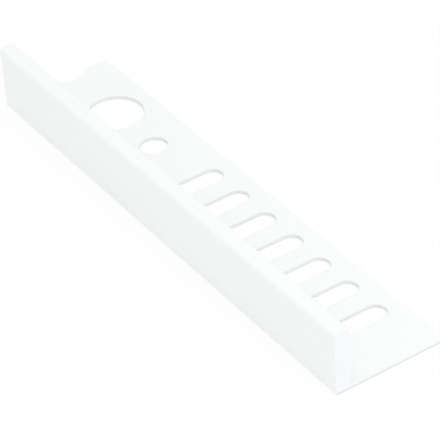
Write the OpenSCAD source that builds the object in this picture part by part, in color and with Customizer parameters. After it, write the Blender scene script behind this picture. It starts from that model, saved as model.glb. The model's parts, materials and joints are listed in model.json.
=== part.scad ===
// Tile edge trim: a short length of extruded rigid PVC angle for the edge of 12.5 mm tiles.
// A thick square upstand shows beside the tile, and a thin perforated leg is bedded under it.
// Millimetres. X runs along the piece, the outer face looks to -Y, and the leg lies on Z = 0.

/* [Profile] */
// Length of the piece between its two sawn ends
piece_length = 101.5; // [60:0.5:400]
// Width of the section, from the outer face to the free edge of the leg
section_width = 21.5; // [20:0.1:40]
// Height of the upstand above the bed, which is the tile size the trim is made for
upstand_height = 12.5; // [6:0.5:25]
// Thickness of the upstand
upstand_thickness = 2.9; // [2.5:0.1:6]
// Thickness of the anchoring leg
leg_thickness = 0.7; // [0.6:0.1:1.6]

/* [Edges] */
// Radius of the upstand's outer top edge
outer_top_radius = 1; // [0.2:0.1:1.8]
// Radius of the upstand's inner top edge
inner_top_radius = 0.3; // [0.1:0.05:0.6]
// Radius of the outer bottom edge, where the face meets the bed
outer_bottom_radius = 0.3; // [0.1:0.05:0.5]
// Radius of the fillet between the leg and the upstand
root_radius = 0.5; // [0.2:0.1:1.5]
// Radius of both edges along the leg's free side
leg_edge_radius = 0.2; // [0.05:0.05:0.25]

/* [Perforations] */
// Distance of the row of perforations from the outer face
row_from_face = 13.6; // [10.5:0.1:15]
// Diameter of the large keying holes
large_hole_d = 10.4; // [7:0.1:14]
// Number of large holes in each group
large_holes_in_group = 2; // [1:1:4]
// Pitch of the large holes
large_hole_pitch = 18.7; // [12:0.1:30]
// Diameter of the small keying hole
small_hole_d = 5; // [3:0.1:10]
// Distance from the last large hole to the small hole, between centres
large_to_small = 12.7; // [10:0.1:25]
// Distance from the small hole to the first slot, between centres
small_to_slot = 14; // [7:0.1:25]
// Width of the keying slots along the trim
slot_width = 4; // [2:0.1:6]
// Length of the keying slots across the leg
slot_length = 10; // [6.5:0.1:14]
// Number of slots in each group
slots_in_group = 7; // [1:1:12]
// Pitch of the slots
slot_pitch = 7.9; // [5.5:0.1:15]
// Distance from the last slot of a group to the first large hole of the next, between centres
slot_to_large = 27.6; // [10:0.1:40]
// Distance by which the far saw cut runs past the centre of the first large hole
cut_past_centre = 3.3; // [1:0.1:4.5]
// Least plain leg left between a perforation and the near saw cut
near_end_margin = 3; // [1:0.5:10]

/* [Hidden] */

// Fineness of the round edges and holes
$fn = 96;

// How far a cut runs past the faces of the leg
cut_overrun = 1;

// Places along the piece, counted from the far saw cut
first_large_hole = -cut_past_centre;
first_small_hole = first_large_hole + (large_holes_in_group - 1) * large_hole_pitch + large_to_small;
first_slot = first_small_hole + small_to_slot;
group_pitch = first_slot + (slots_in_group - 1) * slot_pitch + slot_to_large - first_large_hole;
last_group = floor((piece_length - first_large_hole) / group_pitch);

// A perforation is punched only where it clears the near saw cut
function clears_near_cut(place, width) = place + width / 2 + near_end_margin <= piece_length;

// Places of a run of like perforations, in every group along the piece
function places(first, count, pitch, width) = [
    for (group = [0 : last_group], copy = [0 : count - 1])
        let (place = first + group * group_pitch + copy * pitch)
        if (clears_near_cut(place, width)) place
];

large_hole_places = places(first_large_hole, large_holes_in_group, large_hole_pitch, large_hole_d);
small_hole_places = places(first_small_hole, 1, 0, small_hole_d);
slot_places = places(first_slot, slots_in_group, slot_pitch, slot_width);

// Corner between a quarter circle and the square around it, with its point at the origin
module corner(radius) {
    difference() {
        square(radius);
        translate([radius, radius]) circle(radius);
    }
}

// Cross-section, with the outer face on x = 0 and the bed on y = 0
module section() {
    difference() {
        union() {
            square([upstand_thickness, upstand_height]);
            square([section_width, leg_thickness]);
            translate([upstand_thickness, leg_thickness]) corner(root_radius);
        }
        corner(outer_bottom_radius);
        translate([0, upstand_height]) mirror([0, 1]) corner(outer_top_radius);
        translate([upstand_thickness, upstand_height]) rotate(180) corner(inner_top_radius);
        translate([section_width, 0]) mirror([1, 0]) corner(leg_edge_radius);
        translate([section_width, leg_thickness]) rotate(180) corner(leg_edge_radius);
    }
}

// Round hole through the leg
module hole(diameter) {
    translate([0, 0, -cut_overrun])
        cylinder(h = leg_thickness + 2 * cut_overrun, d = diameter);
}

// Slot with round ends across the leg
module slot() {
    straight = slot_length - slot_width;
    translate([0, 0, -cut_overrun])
        linear_extrude(leg_thickness + 2 * cut_overrun) {
            square([slot_width, straight], center = true);
            for (side = [-1, 1])
                translate([0, side * straight / 2]) circle(d = slot_width);
        }
}

// Every perforation of the leg
module perforations() {
    for (place = large_hole_places)
        translate([place, row_from_face, 0]) hole(large_hole_d);
    for (place = small_hole_places)
        translate([place, row_from_face, 0]) hole(small_hole_d);
    for (place = slot_places)
        translate([place, row_from_face, 0]) slot();
}

// The whole trim, extruded, punched and sawn to length
module edge_trim() {
    color("#f7f8f8")
        translate([-piece_length / 2, -section_width / 2, 0])
            difference() {
                rotate([90, 0, 90]) linear_extrude(piece_length) section();
                perforations();
            }
}

edge_trim();
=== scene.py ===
import json
import math

import bmesh
import bpy
from mathutils import Matrix, Vector


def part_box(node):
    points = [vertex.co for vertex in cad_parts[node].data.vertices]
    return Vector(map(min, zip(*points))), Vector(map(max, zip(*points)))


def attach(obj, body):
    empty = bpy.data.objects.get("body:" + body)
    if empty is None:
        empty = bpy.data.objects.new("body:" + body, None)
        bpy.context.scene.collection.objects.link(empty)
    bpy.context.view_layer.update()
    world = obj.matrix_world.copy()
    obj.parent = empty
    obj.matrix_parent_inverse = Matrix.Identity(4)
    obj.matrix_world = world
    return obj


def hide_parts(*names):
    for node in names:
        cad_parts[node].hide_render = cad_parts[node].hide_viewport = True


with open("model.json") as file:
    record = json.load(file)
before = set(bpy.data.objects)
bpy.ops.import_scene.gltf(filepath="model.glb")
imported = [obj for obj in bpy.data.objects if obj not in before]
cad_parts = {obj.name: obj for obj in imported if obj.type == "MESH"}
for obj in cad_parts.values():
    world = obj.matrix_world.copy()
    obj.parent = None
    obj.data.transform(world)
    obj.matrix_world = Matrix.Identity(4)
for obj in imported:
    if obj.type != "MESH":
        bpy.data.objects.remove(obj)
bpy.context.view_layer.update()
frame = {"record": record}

MM = 0.001

# Round edges of the section
OUTER_TOP_RADIUS = 1.0
INNER_TOP_RADIUS = 0.3
OUTER_BOTTOM_RADIUS = 0.3
ROOT_RADIUS = 0.5
LEG_EDGE_RADIUS = 0.2

# Perforations that the record doesn't state
LARGE_HOLE_PITCH = 18.7
SMALL_HOLE_TO_SLOT = 14.0
SLOT_WIDTH = 4.0
SLOT_LENGTH = 10.0
SLOT_PITCH = 7.9
SLOT_COUNT = 7

# Round edges that the tools leave: punched rims roll over above and break out below, sawn ends are dulled
ROLLED_RIM = 0.12
BROKEN_RIM = 0.08
SAWN_EDGE = 0.05

# Fineness of the mesh
ARC_STEPS = 10
RIM_STEPS = 4
SAWN_EDGE_STEPS = 3
PATCH_RINGS = 3
CELLS_ACROSS = 24
CELL_STEP = 0.9
WELD_DISTANCE = 0.001

# Places in the frame
mounts = {mount["name"]: mount for mount in frame["record"]["mounts"]}


def mount_place(name):
    """Place of one of the record's mounts, in millimetres."""
    return [value / MM for value in mounts[name]["pos_m"]]


trim_low, trim_high = [[value / MM for value in corner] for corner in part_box("edge_trim")]
FAR_END, FACE, BED = trim_low
NEAR_END, FREE_EDGE, TOP = trim_high
INNER_FACE = mount_place("tile_edge_face")[1]
LEG_TOP = mount_place("tile_bed_face")[2]
LEG_FROM = INNER_FACE + ROOT_RADIUS
LEG_TO = FREE_EDGE - LEG_EDGE_RADIUS

# Straight run of the skin, short of the round edges of the sawn ends
SKIN_FROM = FAR_END + SAWN_EDGE
SKIN_TO = NEAR_END - SAWN_EDGE


def arc(centre, radius, start, end, steps=ARC_STEPS):
    """Points on an arc between two angles in degrees, with both ends."""
    angles = [math.radians(start + (end - start) * step / steps) for step in range(steps + 1)]
    return [(centre[0] + radius * math.cos(a), centre[1] + radius * math.sin(a)) for a in angles]


def spread(start, end, count):
    """Evenly spaced values from start to end, with both ends."""
    return [start + (end - start) * step / count for step in range(count + 1)]


# Rows of the leg's mesh, from the root to the free edge
LEG_ROWS = spread(LEG_FROM, LEG_TO, CELLS_ACROSS)


# Section lines, as places across and above the bed

def upstand_line():
    """From the leg's top, up the inner face, over the top, down the outer face and back along the bed."""
    line = arc((LEG_FROM, LEG_TOP + ROOT_RADIUS), ROOT_RADIUS, 270, 180)
    line += arc((INNER_FACE - INNER_TOP_RADIUS, TOP - INNER_TOP_RADIUS), INNER_TOP_RADIUS, 0, 90)
    line += arc((FACE + OUTER_TOP_RADIUS, TOP - OUTER_TOP_RADIUS), OUTER_TOP_RADIUS, 90, 180)
    line += arc((FACE + OUTER_BOTTOM_RADIUS, BED + OUTER_BOTTOM_RADIUS), OUTER_BOTTOM_RADIUS, 180, 270)
    return line + [(LEG_FROM, BED)]


def free_edge_line():
    """From the bed, round the leg's free edge, to the leg's top."""
    line = arc((LEG_TO, BED + LEG_EDGE_RADIUS), LEG_EDGE_RADIUS, 270, 360)
    return line + arc((LEG_TO, LEG_TOP - LEG_EDGE_RADIUS), LEG_EDGE_RADIUS, 0, 90)


# Perforations, each with the outline of its wall

class RoundHole:
    """A round hole, which reaches its radius along the piece."""

    def __init__(self, place, across, radius):
        self.centre = (place, across)
        self.reach = radius

    def wall(self, direction):
        """Point on the wall in a direction from the centre, and the way out of the hole there."""
        unit = Vector(direction).normalized()
        return Vector(self.centre) + unit * self.reach, unit


class Slot:
    """A slot across the leg with round ends, which reaches half its width along the piece."""

    def __init__(self, place, across):
        self.centre = (place, across)
        self.reach = SLOT_WIDTH / 2

    def wall(self, direction):
        """Point on the wall in a direction from the centre, and the way out of the slot there."""
        unit = Vector(direction).normalized()
        half_straight = (SLOT_LENGTH - SLOT_WIDTH) / 2
        if abs(unit.y) * self.reach <= half_straight * abs(unit.x):
            point = unit * (self.reach / abs(unit.x))
            return Vector(self.centre) + point, Vector((math.copysign(1, unit.x), 0))
        end = Vector((0, math.copysign(half_straight, unit.y)))
        along = unit.dot(end)
        point = unit * (along + math.sqrt(along ** 2 - end.length_squared + self.reach ** 2))
        return Vector(self.centre) + point, (point - end).normalized()


def perforations():
    """The whole holes and slots of the leg, from the far end to the near end."""
    found = []
    for name in ("large_hole", "small_hole"):
        place, across, _ = mount_place(name)
        found.append(RoundHole(place, across, mounts[name]["dims"]["r_mm"]))
    small = found[-1]
    for number in range(SLOT_COUNT):
        place = small.centre[0] + SMALL_HOLE_TO_SLOT + number * SLOT_PITCH
        found.append(Slot(place, small.centre[1]))
    return found


def rim_line():
    """How far back the wall stands and at what height, in steps from the leg's top to the bed."""
    rolled = arc((ROLLED_RIM, LEG_TOP - ROLLED_RIM), ROLLED_RIM, 90, 180, RIM_STEPS)
    broken = arc((BROKEN_RIM, BED + BROKEN_RIM), BROKEN_RIM, 180, 270, RIM_STEPS)
    return rolled + broken


# Mesh of the trim

PVC_SKIN, SAWN_END, PUNCHED_WALL = range(3)


def add_grid(mesh, rows, material, closed=False):
    """Quads between rows of points that follow each other, round and round where the rows are closed."""
    vertices = [[mesh.verts.new(Vector(point) * MM) for point in row] for row in rows]
    for row, following in zip(vertices, vertices[1:]):
        count = len(row) if closed else len(row) - 1
        for i in range(count):
            j = (i + 1) % len(row)
            face = mesh.faces.new((row[i], row[j], following[j], following[i]))
            face.material_index = material


def between(outer, inner, height):
    """Rows of points at one height that lead from an outer line to an inner one."""
    rows = []
    for share in spread(0, 1, PATCH_RINGS):
        rows.append([(*(Vector(a).lerp(Vector(b), share)), height) for a, b in zip(outer, inner)])
    return rows


def add_whole_hole(mesh, hole, stations):
    """One cell of the leg with a hole or slot in it: top, bed side and wall."""
    outline = [(x, LEG_FROM) for x in stations[:-1]]
    outline += [(stations[-1], y) for y in LEG_ROWS[:-1]]
    outline += [(x, LEG_TO) for x in stations[:0:-1]]
    outline += [(stations[0], y) for y in LEG_ROWS[:0:-1]]
    walls = [hole.wall(Vector(point) - Vector(hole.centre)) for point in outline]
    rings = []
    for back, height in rim_line():
        rings.append([(*(point + out * back), height) for point, out in walls])
    for ring, height in ((rings[0], LEG_TOP), (rings[-1], BED)):
        add_grid(mesh, between(outline, [point[:2] for point in ring], height), PVC_SKIN, closed=True)
    add_grid(mesh, rings, PUNCHED_WALL, closed=True)


def add_sawn_hole(mesh, centre, radius, stations):
    """The first cell of the leg, where the far saw cut runs through a large hole."""
    outline = [(x, LEG_FROM) for x in stations[:-1]]
    outline += [(stations[-1], y) for y in LEG_ROWS[:-1]]
    outline += [(x, LEG_TO) for x in stations[::-1]]
    rings = []
    for back, height in rim_line():
        half_angle = math.degrees(math.acos((SKIN_FROM - centre[0]) / (radius + back)))
        ring = arc(centre, radius + back, -half_angle, half_angle, len(outline) - 1)
        rings.append([(*point, height) for point in ring])
    for ring, height in ((rings[0], LEG_TOP), (rings[-1], BED)):
        add_grid(mesh, between(outline, [point[:2] for point in ring], height), PVC_SKIN)
    add_grid(mesh, rings, PUNCHED_WALL)


def cell_ends(holes, first_reach):
    """Places along the piece where one cell of the leg ends and the next begins."""
    ends = [SKIN_FROM]
    reach = first_reach
    for hole in holes:
        ends.append((reach + hole.centre[0] - hole.reach) / 2)
        reach = hole.centre[0] + hole.reach
    ends.append(holes[-1].centre[0] + SLOT_PITCH / 2)
    return ends + [SKIN_TO]


def close_sawn_ends(mesh):
    """Rounds the skin's open ends over and closes them with flat faces. The skin already faces outward."""
    mesh.normal_update()
    open_edges = [edge for edge in mesh.edges if edge.is_boundary]
    ring = {corner: corner for edge in open_edges for corner in edge.verts}
    corners = list(ring)
    for sideways, outward in arc((0, 0), SAWN_EDGE, 0, 90, SAWN_EDGE_STEPS)[1:]:
        following = {}
        for corner in corners:
            inward = Vector((0, -corner.normal.y, -corner.normal.z)).normalized()
            out = Vector((math.copysign(1, corner.co.x), 0, 0))
            place = corner.co + (inward * (SAWN_EDGE - sideways) + out * outward) * MM
            following[corner] = mesh.verts.new(place)
        for edge in open_edges:
            a, b = edge.verts
            mesh.faces.new((ring[a], ring[b], following[b], following[a])).material_index = SAWN_END
        ring = following
    last_edges = [edge for edge in mesh.edges if edge.is_boundary]
    ends = bmesh.ops.holes_fill(mesh, edges=last_edges, sides=0)["faces"]
    for face in ends:
        face.material_index = SAWN_END
    bmesh.ops.triangulate(mesh, faces=ends, ngon_method="BEAUTY")


def trim_mesh():
    """The whole trim as one closed skin."""
    holes = perforations()
    large = holes[0]
    sawn_centre = (large.centre[0] - LARGE_HOLE_PITCH, large.centre[1])
    ends = cell_ends(holes, sawn_centre[0] + large.reach)
    cells = [spread(a, b, math.ceil((b - a) / CELL_STEP)) for a, b in zip(ends, ends[1:])]
    stations = [x for cell in cells for x in cell[:-1]] + [SKIN_TO]

    mesh = bmesh.new()
    for line in (upstand_line(), free_edge_line()):
        add_grid(mesh, [[(x, y, z) for x in stations] for y, z in line], PVC_SKIN)
    add_sawn_hole(mesh, sawn_centre, large.reach, cells[0])
    for hole, cell in zip(holes, cells[1:]):
        add_whole_hole(mesh, hole, cell)
    for height in (LEG_TOP, BED):
        add_grid(mesh, [[(x, y, height) for x in cells[-1]] for y in LEG_ROWS], PVC_SKIN)

    bmesh.ops.remove_doubles(mesh, verts=mesh.verts, dist=WELD_DISTANCE * MM)
    bmesh.ops.recalc_face_normals(mesh, faces=mesh.faces)
    close_sawn_ends(mesh)
    bmesh.ops.recalc_face_normals(mesh, faces=mesh.faces)
    for face in mesh.faces:
        face.smooth = True
    return mesh


def make_trim():
    """The trim as an object that stands for the plain solid."""
    data = bpy.data.meshes.new("pvc_edge_trim")
    mesh = trim_mesh()
    mesh.to_mesh(data)
    mesh.free()
    for material in (extruded_rigid_pvc(), sawn_rigid_pvc(), punched_rigid_pvc()):
        data.materials.append(material)
    trim = bpy.data.objects.new("pvc_edge_trim", data)
    bpy.context.scene.collection.objects.link(trim)
    trim.modifiers.new("flat_faces", "WEIGHTED_NORMAL")
    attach(trim, "root")
    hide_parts("edge_trim")


# Materials

def linear(hex_colour):
    """An sRGB hex colour as linear red, green, blue and alpha."""
    channels = [int(hex_colour[i:i + 2], 16) / 255 for i in (1, 3, 5)]
    return [c / 12.92 if c <= 0.04045 else ((c + 0.055) / 1.055) ** 2.4 for c in channels] + [1.0]


def add_node(tree, kind, inputs, **properties):
    """Adds a node with its properties, and its inputs as values or as links from other nodes' outputs."""
    node = tree.nodes.new(kind)
    for name, value in properties.items():
        setattr(node, name, value)
    for name, value in inputs.items():
        if isinstance(value, bpy.types.NodeSocket):
            tree.links.new(value, node.inputs[name])
        else:
            node.inputs[name].default_value = value
    return node


def new_material(name):
    """A material with no nodes yet, and its node tree."""
    material = bpy.data.materials.new(name)
    material.use_nodes = True
    material.node_tree.nodes.clear()
    return material, material.node_tree


PVC_IOR = 1.53
CLOUD_SIZE = 14.0


def clouded(tree, places, colours):
    """Soft clouds of two near whites, as a colour."""
    clouds = add_node(tree, "ShaderNodeTexNoise", {
        "Vector": places, "Scale": 1 / (CLOUD_SIZE * MM), "Detail": 3.0})
    tint = add_node(tree, "ShaderNodeMix", {
        "Factor": clouds.outputs["Fac"], "A": linear(colours[0]), "B": linear(colours[1])},
        data_type="RGBA")
    return tint.outputs["Result"]


def pvc_shader(tree, colour, roughness, height, relief):
    """Rigid PVC with a colour, a relief in millimetres and a gloss that varies with the relief."""
    gloss = add_node(tree, "ShaderNodeMapRange", {
        "Value": height, "To Min": roughness[0], "To Max": roughness[1]})
    bump = add_node(tree, "ShaderNodeBump", {"Height": height, "Strength": 1.0, "Distance": relief * MM})
    shader = add_node(tree, "ShaderNodeBsdfPrincipled", {
        "Base Color": colour, "Roughness": gloss.outputs["Result"],
        "Normal": bump.outputs["Normal"], "IOR": PVC_IOR})
    add_node(tree, "ShaderNodeOutputMaterial", {"Surface": shader.outputs["BSDF"]})


def extruded_rigid_pvc():
    """Rigid PVC filled with titanium white and drawn through a polished steel die.

    The eye sees an even, opaque, faintly cool white with a satin gloss and straight lines along the piece.
    Real die lines are about 0.2 mm apart: they are drawn wider and deeper here so that they show at all.
    """
    material, tree = new_material("extruded_rigid_pvc")
    die_line, die_run = 0.7, 160.0
    places = add_node(tree, "ShaderNodeTexCoord", {}).outputs["Object"]
    stretched = add_node(tree, "ShaderNodeMapping", {
        "Vector": places, "Scale": (1 / (die_run * MM), 1 / (die_line * MM), 1 / (die_line * MM))})
    lines = add_node(tree, "ShaderNodeTexNoise", {
        "Vector": stretched.outputs["Vector"], "Scale": 1.0, "Detail": 4.0, "Roughness": 0.6})
    white = clouded(tree, places, ("#F4F7F6", "#F7F9F8"))
    pvc_shader(tree, white, roughness=(0.30, 0.44), height=lines.outputs["Fac"], relief=0.03)
    return material


def sawn_rigid_pvc():
    """The same PVC cut by a circular saw.

    The eye sees a duller, colder white with uneven tooth marks, parts of wide rings round the blade's axle,
    and a greyer band along the bed, which is painted shade where the end meets the floor.
    Real tooth marks are about 0.3 mm apart: they are drawn wider and deeper here so that they show at all.
    """
    material, tree = new_material("sawn_rigid_pvc")
    tooth_mark, blade_axle = 0.8, (0.0, -70.0, 95.0)
    # Heights above the bed over which the painted shade along the bed fades out
    painted_shade_from, painted_shade_to = 0.2, 0.6
    places = add_node(tree, "ShaderNodeTexCoord", {}).outputs["Object"]
    from_axle = add_node(tree, "ShaderNodeMapping", {
        "Vector": places, "Location": -Vector(blade_axle) * MM, "Scale": (0, 1, 1)})
    distance = add_node(tree, "ShaderNodeVectorMath", {0: from_axle.outputs["Vector"]}, operation="LENGTH")
    marks = add_node(tree, "ShaderNodeTexNoise", {
        "W": distance.outputs["Value"], "Scale": 1 / (tooth_mark * MM), "Detail": 3.0},
        noise_dimensions="1D")
    above_bed = add_node(tree, "ShaderNodeSeparateXYZ", {"Vector": places}).outputs["Z"]
    smooth = add_node(tree, "ShaderNodeMapRange", {
        "Value": above_bed, "From Min": painted_shade_from * MM, "From Max": painted_shade_to * MM})
    # Painted shade: the sawn end is greyer near the bed, as if shadowed by the floor
    colour = add_node(tree, "ShaderNodeMix", {
        "Factor": smooth.outputs["Result"], "A": linear("#E6E7E9"),
        "B": clouded(tree, places, ("#F3F4F7", "#F6F7F9"))}, data_type="RGBA")
    white = colour.outputs["Result"]
    pvc_shader(tree, white, roughness=(0.48, 0.62), height=marks.outputs["Fac"], relief=0.08)
    return material


def punched_rigid_pvc():
    """The same PVC sheared by a punch.

    The eye sees a dull wall with short streaks down it, slightly grey: partly the sheared surface, partly
    painted shade in the hole.
    """
    material, tree = new_material("punched_rigid_pvc")
    streak, streak_run = 0.25, 3.0
    places = add_node(tree, "ShaderNodeTexCoord", {}).outputs["Object"]
    stretched = add_node(tree, "ShaderNodeMapping", {
        "Vector": places, "Scale": (1 / (streak * MM), 1 / (streak * MM), 1 / (streak_run * MM))})
    streaks = add_node(tree, "ShaderNodeTexNoise", {
        "Vector": stretched.outputs["Vector"], "Scale": 1.0, "Detail": 3.0})
    # Slightly grey white: partly the sheared wall's own tone, partly painted shade in the recess of the
    # hole
    sheared_grey_and_painted_shade = clouded(tree, places, ("#E8EAEB", "#EFF0F1"))
    pvc_shader(tree, sheared_grey_and_painted_shade, roughness=(0.55, 0.7), height=streaks.outputs["Fac"], relief=0.06)
    return material


# Floor, light and camera

def seen_ray(tree):
    """One for what the camera sees, in reflections and through glass too, and nought for other light."""
    path = add_node(tree, "ShaderNodeLightPath", {})
    seen = add_node(tree, "ShaderNodeMath", {
        0: path.outputs["Is Camera Ray"], 1: path.outputs["Is Glossy Ray"]}, operation="MAXIMUM")
    shown = add_node(tree, "ShaderNodeMath", {
        0: seen.outputs[0], 1: path.outputs["Is Transmission Ray"]}, operation="MAXIMUM")
    return shown.outputs[0]


PLAIN_WHITE = "#FFFFFF"
FLOOR_WHITE = "#FBFBFB"
# Share of the floor's white that is its own light, where it is seen
FLOOR_OWN_LIGHT = 0.8
FLOOR_SIZE = 6000.0
FLOOR_GAP = 0.02


def make_floor():
    """A plain white floor just under the trim, part lit from below, so that shadows stay faint."""
    bpy.ops.mesh.primitive_plane_add(size=FLOOR_SIZE * MM, location=(0, 0, (BED - FLOOR_GAP) * MM))
    floor = bpy.context.object
    floor.name = "floor"
    material, tree = new_material("studio_floor")
    matt = add_node(tree, "ShaderNodeBsdfDiffuse", {"Color": linear(FLOOR_WHITE)})
    white = add_node(tree, "ShaderNodeEmission", {"Color": linear(PLAIN_WHITE), "Strength": 1.0})
    own = add_node(tree, "ShaderNodeMath", {0: seen_ray(tree), 1: FLOOR_OWN_LIGHT}, operation="MULTIPLY")
    mixed = add_node(tree, "ShaderNodeMixShader", {
        "Fac": own.outputs[0], 1: matt.outputs["BSDF"], 2: white.outputs["Emission"]})
    add_node(tree, "ShaderNodeOutputMaterial", {"Surface": mixed.outputs["Shader"]})
    floor.data.materials.append(material)


# Levels of the light that falls from all round and from low behind, where one is plain white
WORLD_LEVEL = 0.908
WORLD_LEVEL_BEHIND = 0.24
# Direction from the trim to where that light is weakest
LOW_BEHIND = Vector((-0.5, 0.85, -0.8)).normalized()


def make_world():
    """White light from all round, weaker from low behind the trim, and plain white where it is seen."""
    world = bpy.data.worlds.new("white_studio")
    bpy.context.scene.world = world
    world.use_nodes = True
    tree = world.node_tree
    tree.nodes.clear()
    direction = add_node(tree, "ShaderNodeTexCoord", {}).outputs["Generated"]
    behind = add_node(tree, "ShaderNodeVectorMath", {0: direction, 1: LOW_BEHIND}, operation="DOT_PRODUCT")
    falling = add_node(tree, "ShaderNodeMapRange", {
        "Value": behind.outputs["Value"], "To Min": WORLD_LEVEL, "To Max": WORLD_LEVEL_BEHIND})
    level = add_node(tree, "ShaderNodeMapRange", {
        "Value": seen_ray(tree), "To Min": falling.outputs["Result"], "To Max": 1.0})
    light = add_node(tree, "ShaderNodeBackground", {
        "Color": linear(PLAIN_WHITE), "Strength": level.outputs["Result"]})
    add_node(tree, "ShaderNodeOutputWorld", {"Surface": light.outputs["Background"]})


def make_lamp(name, place, aim, size, share):
    """A square soft lamp that adds a share of plain white light to a surface facing it.

    It shines as a matt surface does, so that share is its power over the square of pi times the distance.
    """
    place, aim = Vector(place) * MM, Vector(aim) * MM
    lamp = bpy.data.lights.new(name, "AREA")
    lamp.shape = "SQUARE"
    lamp.size = size * MM
    lamp.energy = share * math.pi ** 2 * (aim - place).length_squared
    holder = bpy.data.objects.new(name, lamp)
    holder.location = place
    holder.rotation_mode = "QUATERNION"
    holder.rotation_quaternion = (aim - place).to_track_quat("-Z", "Y")
    bpy.context.scene.collection.objects.link(holder)


def make_lights():
    """Two soft panels over the trim, one above it and one past its near end."""
    make_lamp("overhead_panel", place=(0, 0, 800), aim=(0, 0, 0), size=600, share=0.092)
    make_lamp("near_end_panel", place=(280, 60, 310), aim=(50, 0, 0), size=250, share=0.145)


# Camera, fitted to the photograph, with its angles in degrees
CAMERA_AIM = (5.36, -1.86, 3.27)
CAMERA_DISTANCE = 480.0
CAMERA_AZIMUTH = 58.53
CAMERA_ELEVATION = 37.68
CAMERA_ROLL = -4.58
SENSOR_WIDTH = 36.0
LENS = 232.6
CLIP_NEAR = 10.0
CLIP_FAR = 100000.0


def make_camera():
    """The photograph's view: from the near end, looking down on the outer face, tilted a little left."""
    azimuth, elevation = math.radians(CAMERA_AZIMUTH), math.radians(CAMERA_ELEVATION)
    back = Vector((math.sin(azimuth) * math.cos(elevation), -math.cos(azimuth) * math.cos(elevation),
                   math.sin(elevation)))
    level_right = Vector((math.cos(azimuth), math.sin(azimuth), 0))
    right = Matrix.Rotation(math.radians(CAMERA_ROLL), 3, back) @ level_right
    up = back.cross(right)
    camera = bpy.data.objects.new("camera", bpy.data.cameras.new("camera"))
    camera.matrix_world = Matrix((right, up, back)).transposed().to_4x4()
    camera.location = (Vector(CAMERA_AIM) + back * CAMERA_DISTANCE) * MM
    camera.data.sensor_width = SENSOR_WIDTH
    camera.data.lens = LENS
    camera.data.clip_start = CLIP_NEAR * MM
    camera.data.clip_end = CLIP_FAR * MM
    bpy.context.scene.collection.objects.link(camera)
    bpy.context.scene.camera = camera


make_camera()
make_world()
make_lights()
make_floor()
make_trim()
bpy.context.scene.view_settings.view_transform = "Standard"
